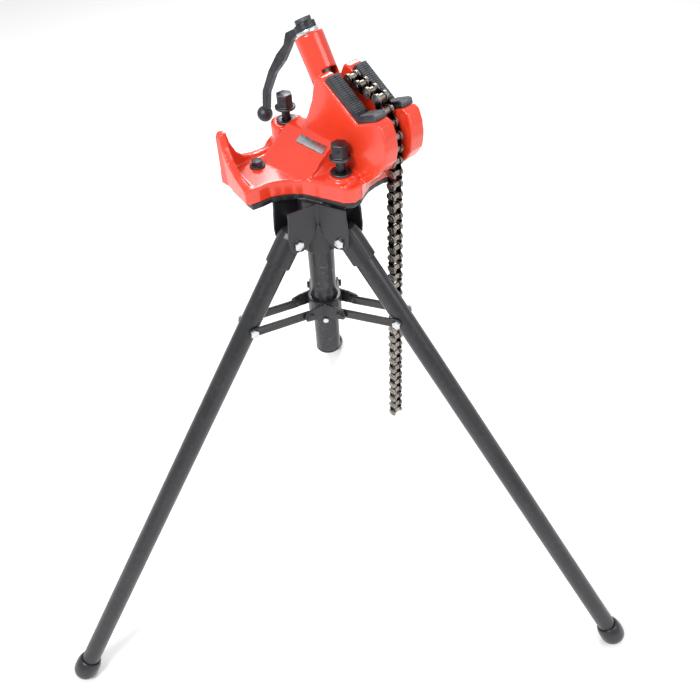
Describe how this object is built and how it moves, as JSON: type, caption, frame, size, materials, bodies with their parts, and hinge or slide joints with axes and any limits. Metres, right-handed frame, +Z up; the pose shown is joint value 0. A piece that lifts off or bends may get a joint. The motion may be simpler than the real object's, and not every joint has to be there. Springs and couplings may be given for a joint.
{
  "type": "portable tripod chain pipe vise",
  "caption": "Folding three-legged steel stand carrying an orange-red chain pipe vise with vee jaws, screw-drawn chain, ball-ended crank and pipe rest.",
  "frame": {"origin": "centre of the footprint on the floor, under the middle of the bounding box", "axes": "+Z up, +Y along the rear leg away from the jaws side, X across the two front feet"},
  "size_m": [1.0924, 0.9528, 1.1045],
  "materials": {
    "stand_black": "satin black enamel over steel, lightly scuffed",
    "vise_red": "glossy orange-red enamel over cast iron, soft cast texture",
    "zinc": "bright zinc plate",
    "forged": "dark oil-finished forged steel, worn on the edges",
    "plate": "plain grey plate, satin",
    "chain_steel": "heat-treated chain steel with a thin oil film"
  },
  "bodies": {
    "stand": {"post": "stand_black", "post_cap": "stand_black", "head": "stand_black", "leg_left_pivot_bolt": "zinc", "leg_right_pivot_bolt": "zinc", "leg_rear_pivot_bolt": "zinc", "vise_body": "vise_red", "jaw_front": "forged", "jaw_rear": "forged", "clamp_bolt_front": "forged", "clamp_bolt_back": "forged", "clamp_washer_front": "forged", "clamp_washer_back": "forged", "lug_bolt": "forged", "plain_plate": "plate"},
    "hub": {"hub": "stand_black", "hub_lock_screw": "zinc"},
    "leg_left": {"leg_left_tube": "stand_black", "leg_left_sleeve": "stand_black", "leg_left_foot": "stand_black", "leg_left_cross_pin": "zinc"},
    "spreader_left": {"strap_left_a": "stand_black", "strap_left_b": "stand_black", "strap_bolt_left_a": "zinc", "strap_bolt_left_b": "zinc"},
    "leg_right": {"leg_right_tube": "stand_black", "leg_right_sleeve": "stand_black", "leg_right_foot": "stand_black", "leg_right_cross_pin": "zinc"},
    "spreader_right": {"strap_right_a": "stand_black", "strap_right_b": "stand_black", "strap_bolt_right_a": "zinc", "strap_bolt_right_b": "zinc"},
    "leg_rear": {"leg_rear_tube": "stand_black", "leg_rear_sleeve": "stand_black", "leg_rear_foot": "stand_black", "leg_rear_cross_pin": "zinc"},
    "spreader_rear": {"strap_rear_a": "stand_black", "strap_rear_b": "stand_black", "strap_bolt_rear_a": "zinc", "strap_bolt_rear_b": "zinc"},
    "screw": {"spindle": "zinc", "thrust_collar": "zinc", "crank": "forged", "knob": "forged", "cap_nut": "forged"},
    "draw": {"draw_block": "forged"},
    "chain_anchor_run": {"chain_anchor": "chain_steel"},
    "chain_over_vee_run": {"chain_over_vee": "chain_steel"},
    "chain_over_horn_run": {"chain_over_horn": "chain_steel"},
    "chain_hang_1_run": {"chain_hang_1": "chain_steel"},
    "chain_hang_2_run": {"chain_hang_2": "chain_steel"},
    "chain_hang_3_run": {"chain_hang_3": "chain_steel"},
    "chain_hang_4_run": {"chain_hang_4": "chain_steel"}
  },
  "joints": [
    {"name": "hub_slide", "type": "slide", "parent": "stand", "child": "hub", "axis": [0, 0, 1], "range_m": [0, 0.08546]},
    {"name": "leg_left_fold", "type": "hinge", "parent": "stand", "child": "leg_left", "pos_m": [-0.04425, -0.17614, 0.8219], "axis": [0.5, -0.866, 0], "range_deg": [0, 34.5]},
    {"name": "spreader_left_fold", "type": "hinge", "parent": "hub", "child": "spreader_left", "pos_m": [-0.03724, -0.17209, 0.6739], "axis": [0.5, -0.866, 0], "range_deg": [0, 92.73]},
    {"name": "leg_right_fold", "type": "hinge", "parent": "stand", "child": "leg_right", "pos_m": [0.04425, -0.17614, 0.8219], "axis": [0.5, 0.866, 0], "range_deg": [0, 34.5]},
    {"name": "spreader_right_fold", "type": "hinge", "parent": "hub", "child": "spreader_right", "pos_m": [0.03724, -0.17209, 0.6739], "axis": [0.5, 0.866, 0], "range_deg": [0, 92.73]},
    {"name": "leg_rear_fold", "type": "hinge", "parent": "stand", "child": "leg_rear", "pos_m": [0, -0.09949, 0.8219], "axis": [-1, 0, 0], "range_deg": [0, 34.5]},
    {"name": "spreader_rear_fold", "type": "hinge", "parent": "hub", "child": "spreader_rear", "pos_m": [0, -0.10759, 0.6739], "axis": [-1, 0, 0], "range_deg": [0, 92.73]},
    {"name": "screw_turn", "type": "hinge", "parent": "stand", "child": "screw", "pos_m": [0.02578, -0.06502, 1.025], "axis": [-0.3313, 0.3745, 0.866], "range_deg": [0, 1260]},
    {"name": "draw_slide", "type": "slide", "parent": "stand", "child": "draw", "axis": [-0.3313, 0.3745, 0.866], "range_m": [0, 0.01401]},
    {"name": "chain_anchor_hinge", "type": "hinge", "parent": "draw", "child": "chain_anchor_run", "pos_m": [0.03307, -0.07326, 1.00595], "axis": [0.749, 0.6626, 0], "range_deg": [0, 1.5]},
    {"name": "chain_over_vee_hinge", "type": "hinge", "parent": "chain_anchor_run", "child": "chain_over_vee_run", "pos_m": [0.06362, -0.1078, 1.03945], "axis": [0.749, 0.6626, 0], "range_deg": [0, 2]},
    {"name": "chain_over_horn_hinge", "type": "hinge", "parent": "chain_over_vee_run", "child": "chain_over_horn_run", "pos_m": [0.10042, -0.1494, 1.02663], "axis": [0.749, 0.6626, 0], "range_deg": [0, 2]},
    {"name": "chain_hang_1_hinge", "type": "hinge", "parent": "chain_over_horn_run", "child": "chain_hang_1_run", "pos_m": [0.11816, -0.16944, 0.9763], "axis": [0.749, 0.6626, 0], "range_deg": [0, 3]},
    {"name": "chain_hang_2_hinge", "type": "hinge", "parent": "chain_hang_1_run", "child": "chain_hang_2_run", "pos_m": [0.11816, -0.16944, 0.8623], "axis": [0.749, 0.6626, 0], "range_deg": [0, 3]},
    {"name": "chain_hang_3_hinge", "type": "hinge", "parent": "chain_hang_2_run", "child": "chain_hang_3_run", "pos_m": [0.11816, -0.16944, 0.7103], "axis": [0.749, 0.6626, 0], "range_deg": [-4, 4]},
    {"name": "chain_hang_4_hinge", "type": "hinge", "parent": "chain_hang_3_run", "child": "chain_hang_4_run", "pos_m": [0.11816, -0.16944, 0.5583], "axis": [0.749, 0.6626, 0], "range_deg": [-4, 4]}
  ],
  "couplings": [
    {"joint": "leg_left_fold", "follows": "hub_slide", "rad_per_m": 7.0438},
    {"joint": "spreader_left_fold", "follows": "hub_slide", "rad_per_m": 18.927},
    {"joint": "leg_right_fold", "follows": "hub_slide", "rad_per_m": 7.0438},
    {"joint": "spreader_right_fold", "follows": "hub_slide", "rad_per_m": 18.927},
    {"joint": "leg_rear_fold", "follows": "hub_slide", "rad_per_m": 7.0438},
    {"joint": "spreader_rear_fold", "follows": "hub_slide", "rad_per_m": 18.927},
    {"joint": "draw_slide", "follows": "screw_turn", "m_per_rad": 0.00063662}
  ]
}
